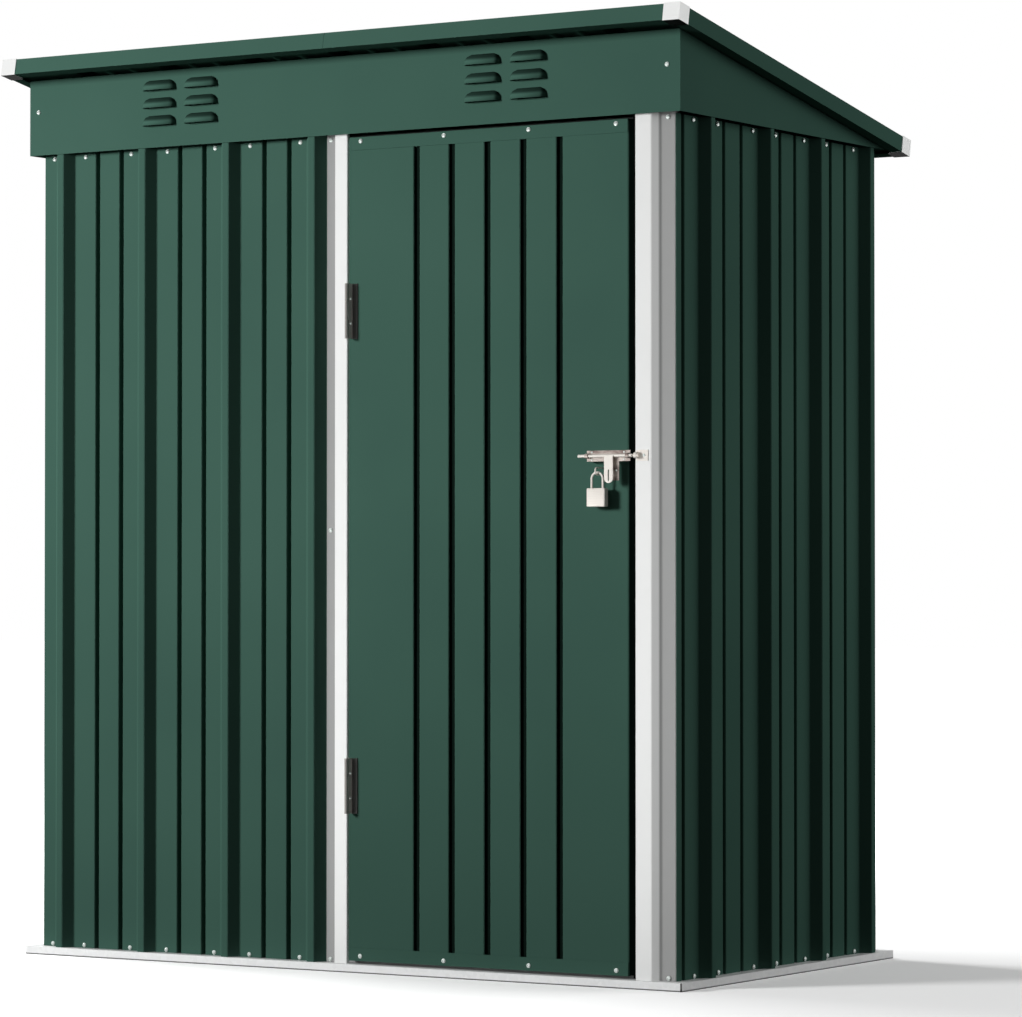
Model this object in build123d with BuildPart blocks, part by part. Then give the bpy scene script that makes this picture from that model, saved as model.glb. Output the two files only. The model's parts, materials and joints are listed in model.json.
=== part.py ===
from build123d import *

import os
from math import atan, cos, degrees, sin, tan

# Lean-to garden shed of pressed steel sheet, with one hinged door, a bolt latch and a padlock.
# X runs along the front to the right, Y towards the back and Z up. The origin lies on the ground
# in the middle of the roof's outline. Lengths are in millimetres.

os.makedirs("parts", exist_ok=True)

# Walls, measured over the flats of the sheets
wall_width = 1472.0
wall_depth = 788.0
sheet = 1.0
bend_ease = 1.2

# Pressed profile of the wall and roof sheets
rib_height = 20.0
rib_crest = 15.0
rib_run = 16.0
rib_pitch = 205.0
groove_width = 10.0
groove_floor = 7.0
groove_depth = 13.0
groove_shares = (0.39, 0.68)
lap_ease = 3.0
front_first_rib = 54.0
side_first_rib = 47.0
side_rib_count = 2
side_front_rib_share = 0.314
side_front_groove_shares = (0.0755, 0.538, 0.739)

# Base rails
rail_sheet = 1.5
ledge_reach = 26.0
ledge_height = 16.0
foot_width = 20.0
base_flange = 26.0
mitre_gap = 0.6

# Top rails and corner angles
top_rail_web = 22.0
top_rail_flange = 25.0
wall_top_drop = 2.0
angle_leg = 16.0

# Roof
front_height = 1800.0
back_height = 1630.0
front_overhang = 73.0
back_overhang = 59.0
side_overhang = 52.0
trim_height = 31.0
trim_flange = 24.0
trim_sheet = 1.2
cap_wall = 1.2
cap_leg = 35.0
cap_flange = 28.0
gable_flange = 40.0
gable_tail = 1.4

# Front fascia and its louvres
fascia_height = 150.9
louvre_length = 79.0
louvre_height = 20.0
louvre_depth = 13.0
louvre_column_pitch = 102.0
louvre_row_pitch = 35.0
louvre_group_centre = 380.0
louvre_first_height = 43.0
louvre_rows = 3
louvre_columns = 2
vent_share = 0.7
hood_rise_shares = (0.5, 0.3, 0.2)
hood_inset_shares = (0.1, 0.3, 0.56)
hood_corner_share = 0.66

# Posts beside the doorway
post_ridge = 14.0
post_face = 34.0
post_slant = 15.0
post_flange = 30.0
post_stop = 20.0
jamb_face = 29.0
jamb_flange = 24.0
jamb_side_run = 3.0
jamb_lip = 7.0
jamb_edge = 14.0

# Door
door_clearance = 5.0
door_depth = 9.0
door_proud = 1.0
door_edge_gap = 14.0
door_under_jamb = 6.0
door_groove_width = 14.0
door_groove_floor = 10.0
door_groove_depth = 6.0
door_groove_pitch = 80.0
door_groove_count = 5
door_rail_height = 25.0

# Hinges
hinge_length = 106.0
hinge_radius = 3.3
hinge_pin_radius = 1.6
hinge_play = 0.1
hinge_leaf = 1.5
hinge_foot = 14.0
hinge_inset = 0.8
hinge_stand = 17.7
hinge_strap_gap = 0.6
hinge_knuckle_gap = 0.4
hinge_margin = 335.0

# Bolt latch
latch_height = 979.5
latch_length = 93.0
latch_width = 20.0
latch_stand = 16.0
latch_sheet = 1.5
drop_width = 18.0
drop_height = 34.0
drop_inset = 24.0
latch_overhang = 5.0
bolt_stand = 4.5
bolt_sink = 0.6
bolt_radius = 3.0
bolt_length = 116.0
bolt_tip_gap = 5.0
bolt_play = 0.3
guide_width = 6.0
guide_wall = 1.6
tab_width = 18.5
tab_height = 50.5
tab_sheet = 2.5
tab_slot_width = 3.0
tab_slot_length = 21.0
tab_inset = 48.25
keeper_length = 25.0
keeper_inset = 3.0
keeper_loop = 6.0
keeper_play = 1.0

# Staple and padlock
wire_sides = 12
staple_wire = 1.5
staple_reach = 26.0
staple_gap = 13.0
staple_drop = 28.0
staple_inset = 23.0
lock_width = 39.0
lock_height = 34.5
lock_depth = 14.0
lock_round = 2.0
shackle_wire = 2.25
shackle_half = 12.0
shackle_leg = 17.0
shackle_grip = 10.0
shackle_stand = 17.0
lock_play = 0.4
lock_fit = 0.2

# Places worked out from the sizes
roof_run = front_overhang + wall_depth + back_overhang
roof_slope = atan((front_height - back_height) / roof_run)
cap_height = trim_height + 2 * cap_wall
roof_lean = cap_height * sin(roof_slope)
roof_length = roof_run / cos(roof_slope)
roof_front = -(roof_run - roof_lean) / 2
roof_half = wall_width / 2 + side_overhang
wall_half = wall_width / 2
wall_front = roof_front + front_overhang
wall_back = wall_front + wall_depth
rail_setback = groove_depth + sheet
rib_half = rib_crest / 2 + rib_run
roof_under = cap_wall + trim_height - trim_sheet
gable_reach = rib_height + 2 * sheet
fascia_face = wall_front - gable_reach
fascia_back = fascia_face + sheet
door_face = wall_front - door_proud

down_slope = Vector(0, cos(roof_slope), -sin(roof_slope))
roof_up = Vector(0, sin(roof_slope), cos(roof_slope))
across = Vector(1, 0, 0)
roof_plane = Plane(origin=(0, roof_front, front_height), x_dir=across, z_dir=roof_up)

# One plane for each wall, its origin at the corner on the left as seen from outside
front_wall = Plane(origin=(-wall_half, wall_front, 0), x_dir=(1, 0, 0), z_dir=(0, 0, 1))
right_wall = Plane(origin=(wall_half, wall_front, 0), x_dir=(0, 1, 0), z_dir=(0, 0, 1))
back_wall = Plane(origin=(wall_half, wall_back, 0), x_dir=(-1, 0, 0), z_dir=(0, 0, 1))
left_wall = Plane(origin=(-wall_half, wall_back, 0), x_dir=(0, -1, 0), z_dir=(0, 0, 1))


def roof_level(y, depth):
    """Height of the plane that lies the given depth below the roof's top."""
    return front_height - (y - roof_front) * tan(roof_slope) - depth / cos(roof_slope)


# The front ends below its fascia, the other walls below the lower end of the roof
fascia_top = roof_level(fascia_back, roof_under)
fascia_bottom = fascia_top - fascia_height
back_eaves = roof_level(wall_back, roof_under)
gable_bottom = min(fascia_bottom, back_eaves - gable_tail)
front_top = fascia_bottom + top_rail_flange
front_rail_top = fascia_bottom + gable_tail - wall_top_drop
side_top = gable_bottom + gable_tail - wall_top_drop


def pressed_path(start, end, ribs, grooves, depth, lap_start=False, lap_end=False):
    """Outer line of a pressed sheet, as places along it and distances inwards from its flat."""
    bends = []
    for place in ribs:
        foot = rib_half
        crest = rib_crest / 2
        bends += [(place - foot, 0), (place - crest, -rib_height)]
        bends += [(place + crest, -rib_height), (place + foot, 0)]
    for place in grooves:
        bends += [(place - groove_width / 2, 0), (place - groove_floor / 2, depth)]
        bends += [(place + groove_floor / 2, depth), (place + groove_width / 2, 0)]
    bends.sort(key=lambda bend: bend[0])
    if lap_start:
        first = [(start - rib_crest / 2 + lap_ease, -rib_height), (start + rib_crest / 2, -rib_height)]
        first += [(start + rib_half, 0)]
    else:
        first = [(start, 0)]
    if lap_end:
        last = [(end - rib_half, 0), (end - rib_crest / 2, -rib_height - sheet)]
        last += [(end + rib_crest / 2 - lap_ease, -rib_height - sheet)]
    else:
        last = [(end, 0)]
    return first + bends + last


def eased(path):
    """The path with each bend cut to a narrow flat."""
    corners = [Vector(*place) for place in path]
    points = [corners[0]]
    for before, corner, after in zip(corners, corners[1:], corners[2:]):
        points.append(corner + (before - corner).normalized() * bend_ease)
        points.append(corner + (after - corner).normalized() * bend_ease)
    return points + [corners[-1]]


def sheet_outline(path, thickness):
    """Closed outline of a sheet that lies on the left of the path."""
    corners = [Vector(*place) for place in path]
    runs = [(after - before).normalized() for before, after in zip(corners, corners[1:])]
    normals = [Vector(-run.Y, run.X) for run in runs]
    inner = [corners[0] + normals[0] * thickness]
    for corner, before, after in zip(corners[1:], normals, normals[1:]):
        inner.append(corner + (before + after) * (thickness / (1 + before.dot(after))))
    inner.append(corners[-1] + normals[-1] * thickness)
    return corners + list(reversed(inner))


def folded_sheet(plane, path, length, thickness):
    """A sheet folded along a path and drawn out at right angles to its plane."""
    with BuildPart() as folded:
        with BuildSketch(plane):
            with BuildLine():
                Polyline(*sheet_outline(path, thickness), close=True)
            make_face()
        extrude(amount=length)
    return folded.part


def mirrored(piece):
    """The piece as it stands on the other side of the shed."""
    with BuildPart() as other:
        mirror(piece, about=Plane.YZ)
    return other.part


def save(piece, name):
    """Label a finished piece and write it."""
    piece.label = name
    export_step(piece, f"parts/{name}.step")


# Base rails: a foot on the ground, an outer face, a ledge for the sheets and a flange inside them
rail_path = [
    (ledge_reach - foot_width, 0),
    (ledge_reach, 0),
    (ledge_reach, ledge_height),
    (-rail_setback, ledge_height),
    (-rail_setback, ledge_height + base_flange),
]


def base_rail(wall, length):
    """A base rail along one wall, mitred at both corners."""
    along = wall.x_dir
    outward = -wall.y_dir
    far_end = wall.origin + along * (length + ledge_reach)
    section = Plane(origin=far_end, x_dir=outward, z_dir=-along)
    start_corner = wall.origin - along * ledge_reach + outward * ledge_reach
    end_corner = far_end + outward * ledge_reach
    start_mitre = Plane(origin=start_corner + along * mitre_gap, z_dir=along + outward)
    end_mitre = Plane(origin=end_corner - along * mitre_gap, z_dir=outward - along)
    with BuildPart() as rail:
        add(folded_sheet(section, rail_path, length + 2 * ledge_reach, rail_sheet))
        split(bisect_by=start_mitre, keep=Keep.TOP)
        split(bisect_by=end_mitre, keep=Keep.TOP)
    return rail.part


save(base_rail(front_wall, wall_width), "base_rail_front")
save(base_rail(right_wall, wall_depth), "base_rail_right")
save(base_rail(back_wall, wall_width), "base_rail_back")
save(base_rail(left_wall, wall_depth), "base_rail_left")

# Wall sheets stand on the ledge
groove_offsets = [share * rib_pitch for share in groove_shares]


def ribs_in(room):
    """How many whole ribs follow one another in a width, the first at its start."""
    return int((room - rib_half) // rib_pitch) + 1


def rib_row(first, count):
    """Places of ribs one pitch apart."""
    return [first + number * rib_pitch for number in range(count)]


def wall_sheet(wall, path, top):
    """A pressed sheet that stands on the ledge of a wall's base rail."""
    foot = wall.offset(ledge_height)
    return folded_sheet(foot, eased(path), top - ledge_height, sheet)


front_sheet_end = wall_half + jamb_edge - jamb_face - jamb_side_run
front_ribs = rib_row(front_first_rib, ribs_in(front_sheet_end - front_first_rib))
front_grooves = [rib + gap for rib in front_ribs[:-1] for gap in groove_offsets]
front_path = pressed_path(0, front_sheet_end, front_ribs, front_grooves, groove_depth)
save(wall_sheet(front_wall, front_path, front_top), "front_wall_panel")

# Each side wall has a rear sheet and a front sheet that laps over its last crest
rear_ribs = [wall_depth - place for place in rib_row(side_first_rib, side_rib_count)]
side_lap = wall_depth - side_first_rib - side_rib_count * rib_pitch
rear_grooves = [rib - gap for rib in rear_ribs for gap in groove_offsets]
rear_path = pressed_path(side_lap, wall_depth - sheet, rear_ribs, rear_grooves, groove_depth, lap_start=True)
side_wall_rear = wall_sheet(right_wall, rear_path, side_top)
save(mirrored(side_wall_rear), "side_wall_left_rear")
save(side_wall_rear, "side_wall_right_rear")

near_ribs = [side_front_rib_share * side_lap]
near_grooves = [share * side_lap for share in side_front_groove_shares]
near_path = pressed_path(sheet, side_lap, near_ribs, near_grooves, groove_depth, lap_end=True)
side_wall_front = wall_sheet(right_wall, near_path, side_top)
save(mirrored(side_wall_front), "side_wall_left_front")
save(side_wall_front, "side_wall_right_front")

# The back wall has two sheets that lap on the middle rib
back_rib_count = ribs_in(wall_half - rib_pitch)
back_ribs = [wall_half - place for place in rib_row(rib_pitch, back_rib_count)]
back_grooves = [rib + gap for rib in back_ribs for gap in groove_offsets]
back_path = pressed_path(0, wall_half, back_ribs, back_grooves, groove_depth, lap_end=True)
save(wall_sheet(back_wall, back_path, side_top), "back_wall_right")
back_ribs = [wall_half + place for place in rib_row(rib_pitch, back_rib_count)]
back_grooves = [wall_half + place + gap for place in rib_row(0, back_rib_count) for gap in groove_offsets]
back_path = pressed_path(wall_half, wall_width, back_ribs, back_grooves, groove_depth, lap_start=True)
save(wall_sheet(back_wall, back_path, side_top), "back_wall_left")

# Corner angles behind the sheets, and the two posts beside the doorway
angle_path = [(angle_leg, sheet), (sheet, sheet), (sheet, angle_leg)]


def corner_angle(wall, top):
    """An angle inside the corner on the left of a wall."""
    path = list(reversed(angle_path))
    return folded_sheet(wall.offset(ledge_height), path, top - ledge_height, sheet)


with BuildPart() as corner_angles:
    add(corner_angle(front_wall, side_top))
    add(corner_angle(back_wall, side_top))
    add(corner_angle(left_wall, side_top))
save(corner_angles.part, "corner_angles")

post_left = wall_width - post_flange - post_slant - post_face
post_path = [
    (post_left - post_stop, groove_depth),
    (post_left, groove_depth),
    (post_left, -post_ridge),
    (post_left + post_face, -post_ridge),
    (post_left + post_face + post_slant, 0),
    (wall_width - sheet, 0),
    (wall_width - sheet, angle_leg),
]
corner_post = wall_sheet(front_wall, post_path, front_top)
save(corner_post, "corner_post")

jamb_right = wall_half + jamb_edge
jamb_left = jamb_right - jamb_face
jamb_path = [
    (jamb_left - jamb_side_run - jamb_flange, -sheet),
    (jamb_left - jamb_side_run, -sheet),
    (jamb_left, -post_ridge),
    (jamb_right, -post_ridge),
    (jamb_right, -post_ridge + jamb_lip),
]
door_jamb = wall_sheet(front_wall, jamb_path, front_top)
save(door_jamb, "door_jamb_post")

# Top rails behind the sheets

def top_rail(wall, start, end, top):
    """A rail behind the top of a wall, with its flange inwards."""
    far_end = wall.origin + wall.x_dir * end + wall.y_dir * rail_setback
    section = Plane(origin=far_end, x_dir=-wall.y_dir, z_dir=-wall.x_dir)
    path = [(0, top - top_rail_web), (0, top), (-top_rail_flange, top)]
    return folded_sheet(section, path, end - start, rail_sheet)


rail_end = rail_setback
side_rail_start = rail_setback + top_rail_flange
save(top_rail(front_wall, rail_end, wall_width - rail_end, front_rail_top), "top_rail_front")
save(top_rail(back_wall, rail_end, wall_width - rail_end, side_top), "top_rail_back")
save(top_rail(right_wall, side_rail_start, wall_depth - side_rail_start, side_top), "top_rail_right")
save(top_rail(left_wall, side_rail_start, wall_depth - side_rail_start, side_top), "top_rail_left")

# Front fascia with hooded louvres, closed above by the roof
fascia_half = wall_half + gable_reach


def louvre_hood(length, reach, rise):
    """A long hood with rounded ends, a flat underside and a flat back."""
    with BuildPart() as hood:
        with BuildSketch() as plan:
            Rectangle(length, 2 * reach)
            chamfer(plan.vertices(), hood_corner_share * reach)
        stage = plan.sketch.faces()[0]
        for rise_share, inset_share in zip(hood_rise_shares, hood_inset_shares):
            lean = degrees(atan(inset_share * reach / (rise_share * rise)))
            extrude(stage, amount=rise_share * rise, taper=lean)
            stage = hood.faces().sort_by(Axis.Z)[-1]
        split(bisect_by=Plane.XZ, keep=Keep.TOP)
    return hood.part


louvre_steps = [number - (louvre_columns - 1) / 2 for number in range(louvre_columns)]
louvre_columns_right = [louvre_group_centre + step * louvre_column_pitch for step in louvre_steps]
louvre_places_x = [-place for place in louvre_columns_right] + louvre_columns_right
louvre_places_z = [fascia_bottom + louvre_first_height + row * louvre_row_pitch for row in range(louvre_rows)]
louvre_places = [(x, fascia_face + sheet / 2, z) for x in louvre_places_x for z in louvre_places_z]
vent_height = louvre_height * vent_share
vent_length = louvre_length - 2 * louvre_depth

hood_root = sheet / 2
hood_outside = louvre_hood(louvre_length, louvre_depth + hood_root, louvre_height)
hood_inside = louvre_hood(louvre_length - 2 * sheet, louvre_depth + hood_root - sheet, louvre_height - sheet)
vent_align = (Align.CENTER, Align.CENTER, Align.MIN)

with BuildPart() as front_fascia:
    with BuildSketch(Plane(origin=(0, fascia_back, fascia_bottom), x_dir=(1, 0, 0), z_dir=(0, -1, 0))):
        Rectangle(2 * fascia_half, fascia_height, align=(Align.CENTER, Align.MIN))
    extrude(amount=sheet)
    with Locations(*louvre_places):
        add(hood_outside)
    with Locations(*louvre_places):
        add(hood_inside, mode=Mode.SUBTRACT)
    with Locations(*louvre_places):
        Box(vent_length, 2 * sheet, vent_height, align=vent_align, mode=Mode.SUBTRACT)
save(front_fascia.part, "front_fascia")

# Gable sheets follow the slope of the roof and turn in behind the fascia
gable_front = fascia_back
gable_outline = [
    (gable_front, gable_bottom),
    (wall_back, gable_bottom),
    (wall_back, back_eaves),
    (gable_front, fascia_top),
]
return_top = roof_level(gable_front + sheet, roof_under)
return_plane = Plane(origin=(fascia_half, gable_front, fascia_bottom), x_dir=(-1, 0, 0), z_dir=(0, 1, 0))
with BuildPart() as gable_right:
    with BuildSketch(Plane(origin=(fascia_half - sheet, 0, 0), x_dir=(0, 1, 0), z_dir=(1, 0, 0))):
        with BuildLine():
            Polyline(*gable_outline, close=True)
        make_face()
    extrude(amount=sheet)
    with BuildSketch(return_plane):
        Rectangle(gable_flange, return_top - fascia_bottom, align=(Align.MIN, Align.MIN))
    extrude(amount=sheet)
save(gable_right.part, "gable_right")
save(mirrored(gable_right.part), "gable_left")

# Roof trims: channels that hold the edges of the roof sheets
trim_half = roof_half - cap_wall
trim_end = roof_length - cap_wall
trim_path = [
    (trim_flange, -cap_wall - trim_height),
    (0, -cap_wall - trim_height),
    (0, -cap_wall),
    (trim_flange, -cap_wall),
]
trim_outline = list(reversed(trim_path))
seam_gap = mitre_gap / 2


def roof_point(u, v):
    """A point of the roof's top plane, by its places across and down the slope."""
    return roof_plane.origin + across * u + down_slope * v


def roof_trim(place, inward, length):
    """A trim channel that starts at a place and opens in the direction given."""
    section = Plane(origin=place, x_dir=inward, z_dir=inward.cross(roof_up))
    return folded_sheet(section, trim_outline, length, trim_sheet)


front_trim_right = roof_trim(roof_point(seam_gap, cap_wall), down_slope, trim_half - seam_gap)
save(front_trim_right, "roof_trim_front_right")
save(mirrored(front_trim_right), "roof_trim_front_left")
save(roof_trim(roof_point(trim_half, trim_end), -down_slope, 2 * trim_half), "roof_trim_back")
side_trim_start = cap_wall + trim_flange
side_trim_length = roof_length - 2 * side_trim_start
side_trim_right = roof_trim(roof_point(trim_half, side_trim_start), -across, side_trim_length)
save(side_trim_right, "roof_trim_right")
save(mirrored(side_trim_right), "roof_trim_left")

# Roof sheets, ribbed down the slope and lapped on the middle rib
roof_flat = roof_under - (trim_height - 2 * trim_sheet - rib_height - sheet)
roof_groove_depth = roof_under - roof_flat - sheet
panel_half = trim_half - trim_sheet
panel_start = cap_wall + trim_sheet
panel_length = roof_length - 2 * panel_start
panel_plane = Plane(
    origin=roof_point(0, panel_start) - roof_up * roof_flat,
    x_dir=across,
    z_dir=down_slope,
)
roof_rib_count = ribs_in(panel_half - rib_pitch)
roof_ribs = rib_row(rib_pitch, roof_rib_count)
roof_grooves = [place + gap for place in rib_row(0, roof_rib_count) for gap in groove_offsets]
roof_path = pressed_path(0, panel_half, roof_ribs, roof_grooves, roof_groove_depth, lap_start=True)
save(folded_sheet(panel_plane, eased(roof_path), panel_length, sheet), "roof_panel_right")
roof_ribs = [-place for place in roof_ribs]
roof_grooves = [-place for place in roof_grooves]
roof_path = pressed_path(-panel_half, 0, roof_ribs, roof_grooves, roof_groove_depth, lap_end=True)
save(folded_sheet(panel_plane, eased(roof_path), panel_length, sheet), "roof_panel_left")

# White caps over the corners of the trims
cap_under = Plane(
    origin=roof_point(0, 0) - roof_up * cap_height,
    x_dir=across,
    z_dir=roof_up,
)


def corner_cap(front):
    """A cap at a right-hand corner, at the front or at the back."""
    outer_v = 0 if front else roof_length
    turn = 1 if front else -1
    align_v = Align.MIN if front else Align.MAX
    with BuildPart() as cap:
        with BuildSketch(cap_under):
            with Locations((roof_half, outer_v)):
                Rectangle(cap_leg, cap_leg, align=(Align.MAX, align_v))
        extrude(amount=cap_height)
        with BuildSketch(cap_under.offset(cap_wall)):
            with Locations((trim_half, outer_v + turn * cap_wall)):
                Rectangle(cap_leg, cap_leg, align=(Align.MAX, align_v))
        extrude(amount=trim_height, mode=Mode.SUBTRACT)
        with BuildSketch(cap_under):
            with Locations((roof_half - cap_flange, outer_v + turn * cap_flange)):
                Rectangle(cap_leg, cap_leg, align=(Align.MAX, align_v))
        extrude(amount=cap_height, mode=Mode.SUBTRACT)
    return cap.part


cap_front_right = corner_cap(True)
cap_back_right = corner_cap(False)
save(cap_front_right, "corner_cap_front_right")
save(mirrored(cap_front_right), "corner_cap_front_left")
save(cap_back_right, "corner_cap_back_right")
save(mirrored(cap_back_right), "corner_cap_back_left")

# Door leaf: a folded sheet with long grooves, and an angle along its top and bottom
door_left = jamb_right - door_under_jamb
door_right = post_left - door_edge_gap
door_back = door_depth - door_proud
door_bottom = ledge_height + door_clearance
door_top = fascia_bottom - door_clearance
door_middle = (door_left + door_right) / 2
door_groove_steps = [number - (door_groove_count - 1) / 2 for number in range(door_groove_count)]
door_bends = []
for step in door_groove_steps:
    place = door_middle + step * door_groove_pitch
    door_bends.append((place - door_groove_width / 2, -door_proud))
    door_bends.append((place - door_groove_floor / 2, door_groove_depth - door_proud))
    door_bends.append((place + door_groove_floor / 2, door_groove_depth - door_proud))
    door_bends.append((place + door_groove_width / 2, -door_proud))
door_path = [(door_left, door_back), (door_left, -door_proud)]
door_path += door_bends
door_path += [(door_right - door_depth, -door_proud), (door_right, door_back)]
panel_bottom = door_bottom + sheet
panel_top = door_top - sheet
door_panel = folded_sheet(front_wall.offset(panel_bottom), eased(door_path), panel_top - panel_bottom, sheet)
save(door_panel, "door_panel")

door_rail_left = door_left - wall_half
door_rail_right = door_right - door_depth - wall_half
door_rail_length = door_rail_right - door_rail_left
door_rail_face = door_face - sheet
door_rail_back = wall_front + door_back
door_rail_plane = Plane(origin=(door_rail_left, 0, 0), x_dir=(0, 1, 0), z_dir=(1, 0, 0))
bottom_rail_path = [
    (door_rail_face, door_bottom + door_rail_height),
    (door_rail_face, door_bottom),
    (door_rail_back, door_bottom),
]
top_rail_path = [
    (door_rail_back, door_top),
    (door_rail_face, door_top),
    (door_rail_face, door_top - door_rail_height),
]
save(folded_sheet(door_rail_plane, bottom_rail_path, door_rail_length, sheet), "door_bottom_rail")
save(folded_sheet(door_rail_plane, top_rail_path, door_rail_length, sheet), "door_top_rail")

# Hinges: the jamb's leaf carries the pin and the outer knuckles, the door's leaf turns on it
leaf_side = jamb_right - wall_half
hinge_x = leaf_side + hinge_inset
hinge_y = wall_front - hinge_stand
hinge_third = hinge_length / 3
leaf_inner = wall_front - post_ridge + jamb_lip
strap_side = leaf_side + hinge_leaf + hinge_strap_gap
leaf_near = hinge_y + hinge_radius + hinge_strap_gap
foot_back = door_face


def jamb_leaf(centre):
    """The fixed half of a hinge, with its pin."""
    low = centre - hinge_length / 2
    with BuildPart() as leaf:
        for start in (low, low + 2 * hinge_third):
            with BuildSketch(Plane.XY.offset(start)):
                with Locations((hinge_x, hinge_y)):
                    Circle(hinge_radius)
                with Locations((leaf_side, leaf_inner)):
                    Rectangle(hinge_leaf, leaf_inner - hinge_y, align=(Align.MIN, Align.MAX))
            extrude(amount=hinge_third)
        with BuildSketch(Plane.XY.offset(low)):
            with Locations((leaf_side, leaf_inner)):
                Rectangle(hinge_leaf, leaf_inner - leaf_near, align=(Align.MIN, Align.MAX))
            with Locations((hinge_x, hinge_y)):
                Circle(hinge_pin_radius)
        extrude(amount=hinge_length)
    return leaf.part


def door_leaf(centre):
    """The moving half of a hinge, with the middle knuckle."""
    low = centre - hinge_length / 2
    middle = centre - hinge_third / 2 + hinge_knuckle_gap
    middle_height = hinge_third - 2 * hinge_knuckle_gap
    with BuildPart() as leaf:
        with BuildSketch(Plane.XY.offset(middle)):
            with Locations((hinge_x, hinge_y)):
                Circle(hinge_radius)
            with Locations((strap_side, foot_back)):
                Rectangle(hinge_leaf, foot_back - hinge_y, align=(Align.MIN, Align.MAX))
            with Locations((hinge_x, hinge_y)):
                Circle(hinge_pin_radius + hinge_play, mode=Mode.SUBTRACT)
        extrude(amount=middle_height)
        with BuildSketch(Plane.XY.offset(low)):
            with Locations((strap_side, foot_back)):
                Rectangle(hinge_leaf, foot_back - leaf_near, align=(Align.MIN, Align.MAX))
                Rectangle(hinge_foot, hinge_leaf, align=(Align.MIN, Align.MAX))
        extrude(amount=hinge_length)
    return leaf.part


lower_hinge = door_bottom + hinge_margin
upper_hinge = door_top - hinge_margin
save(jamb_leaf(lower_hinge), "hinge_lower_jamb_leaf")
save(door_leaf(lower_hinge), "hinge_lower_door_leaf")
save(jamb_leaf(upper_hinge), "hinge_upper_jamb_leaf")
save(door_leaf(upper_hinge), "hinge_upper_door_leaf")

# Bolt latch on the door: a raised channel with two guides and a drop plate
latch_right = door_right - wall_half + latch_overhang
latch_left = latch_right - latch_length
latch_face = door_face - latch_stand
bolt_y = latch_face - bolt_stand
bolt_plane = Plane(origin=(0, bolt_y, latch_height), x_dir=(0, 1, 0), z_dir=(1, 0, 0))
latch_path = [
    (door_face, latch_height + latch_width / 2),
    (latch_face, latch_height + latch_width / 2),
    (latch_face, latch_height - latch_width / 2),
    (door_face, latch_height - latch_width / 2),
]
latch_section = Plane(origin=(latch_left, 0, 0), x_dir=(0, 1, 0), z_dir=(1, 0, 0))
latch_shelf = door_right - door_depth - wall_half - latch_left
guide_places = (latch_left, latch_right - guide_width)
drop_left = latch_right - drop_inset - drop_width
drop_top = latch_height - latch_width / 2
guide_radius = bolt_radius + bolt_play
guide_outside = guide_radius + guide_wall

with BuildPart() as latch_base:
    add(folded_sheet(latch_section, latch_path, latch_shelf, latch_sheet))
    with BuildSketch(Plane(origin=(latch_left, latch_face, latch_height), x_dir=(1, 0, 0), z_dir=(0, 1, 0))):
        Rectangle(latch_length, latch_width, align=(Align.MIN, Align.CENTER))
    extrude(amount=latch_sheet)
    with BuildSketch(Plane(origin=(drop_left, latch_face, drop_top), x_dir=(1, 0, 0), z_dir=(0, 1, 0))):
        Rectangle(drop_width, drop_height + latch_sheet, align=(Align.MIN, Align.MIN))
    extrude(amount=latch_sheet)
    for place in guide_places:
        with BuildSketch(bolt_plane.offset(place)):
            Circle(guide_outside)
            Rectangle(bolt_stand + latch_sheet, 2 * guide_outside, align=(Align.MIN, Align.CENTER))
            Circle(guide_radius, mode=Mode.SUBTRACT)
        extrude(amount=guide_width)
save(latch_base.part, "latch_base")

# Bolt: a round rod with a slotted tab, drawn back at rest
keeper_left = post_left - wall_half + keeper_inset
bolt_end = keeper_left - bolt_tip_gap
bolt_start = bolt_end - bolt_length
tab_middle = bolt_end - tab_inset
tab_top = latch_height
tab_face = bolt_y - bolt_radius - tab_sheet + bolt_sink
with BuildPart() as bolt:
    with BuildSketch(bolt_plane.offset(bolt_start)):
        Circle(bolt_radius)
    extrude(amount=bolt_length)
    with BuildSketch(Plane(origin=(tab_middle, tab_face, tab_top), x_dir=(1, 0, 0), z_dir=(0, -1, 0))):
        Rectangle(tab_width, tab_height - tab_width / 2, align=(Align.CENTER, Align.MAX))
        with Locations((0, tab_width / 2 - tab_height)):
            Circle(tab_width / 2)
        with Locations((0, -tab_height + tab_width / 2 + tab_slot_length / 4)):
            SlotOverall(tab_slot_length, tab_slot_width, rotation=90, mode=Mode.SUBTRACT)
    extrude(amount=-tab_sheet)
save(bolt.part, "bolt")

# Keeper on the corner post, which takes the bolt
keeper_back = wall_front - post_ridge
keeper_radius = bolt_radius + keeper_play
keeper_plane = Plane(origin=(keeper_left, keeper_back, latch_height), x_dir=(1, 0, 0), z_dir=(0, -1, 0))
keeper_outside = keeper_radius + guide_wall
with BuildPart() as latch_keeper:
    with BuildSketch(keeper_plane):
        Rectangle(keeper_length, latch_width, align=(Align.MIN, Align.CENTER))
    extrude(amount=latch_sheet)
    with BuildSketch(bolt_plane.offset(keeper_left)):
        Circle(keeper_outside)
        Rectangle(keeper_back - bolt_y, 2 * keeper_outside, align=(Align.MIN, Align.CENTER))
        Circle(keeper_radius, mode=Mode.SUBTRACT)
    extrude(amount=keeper_loop)
save(latch_keeper.part, "latch_keeper")

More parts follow.
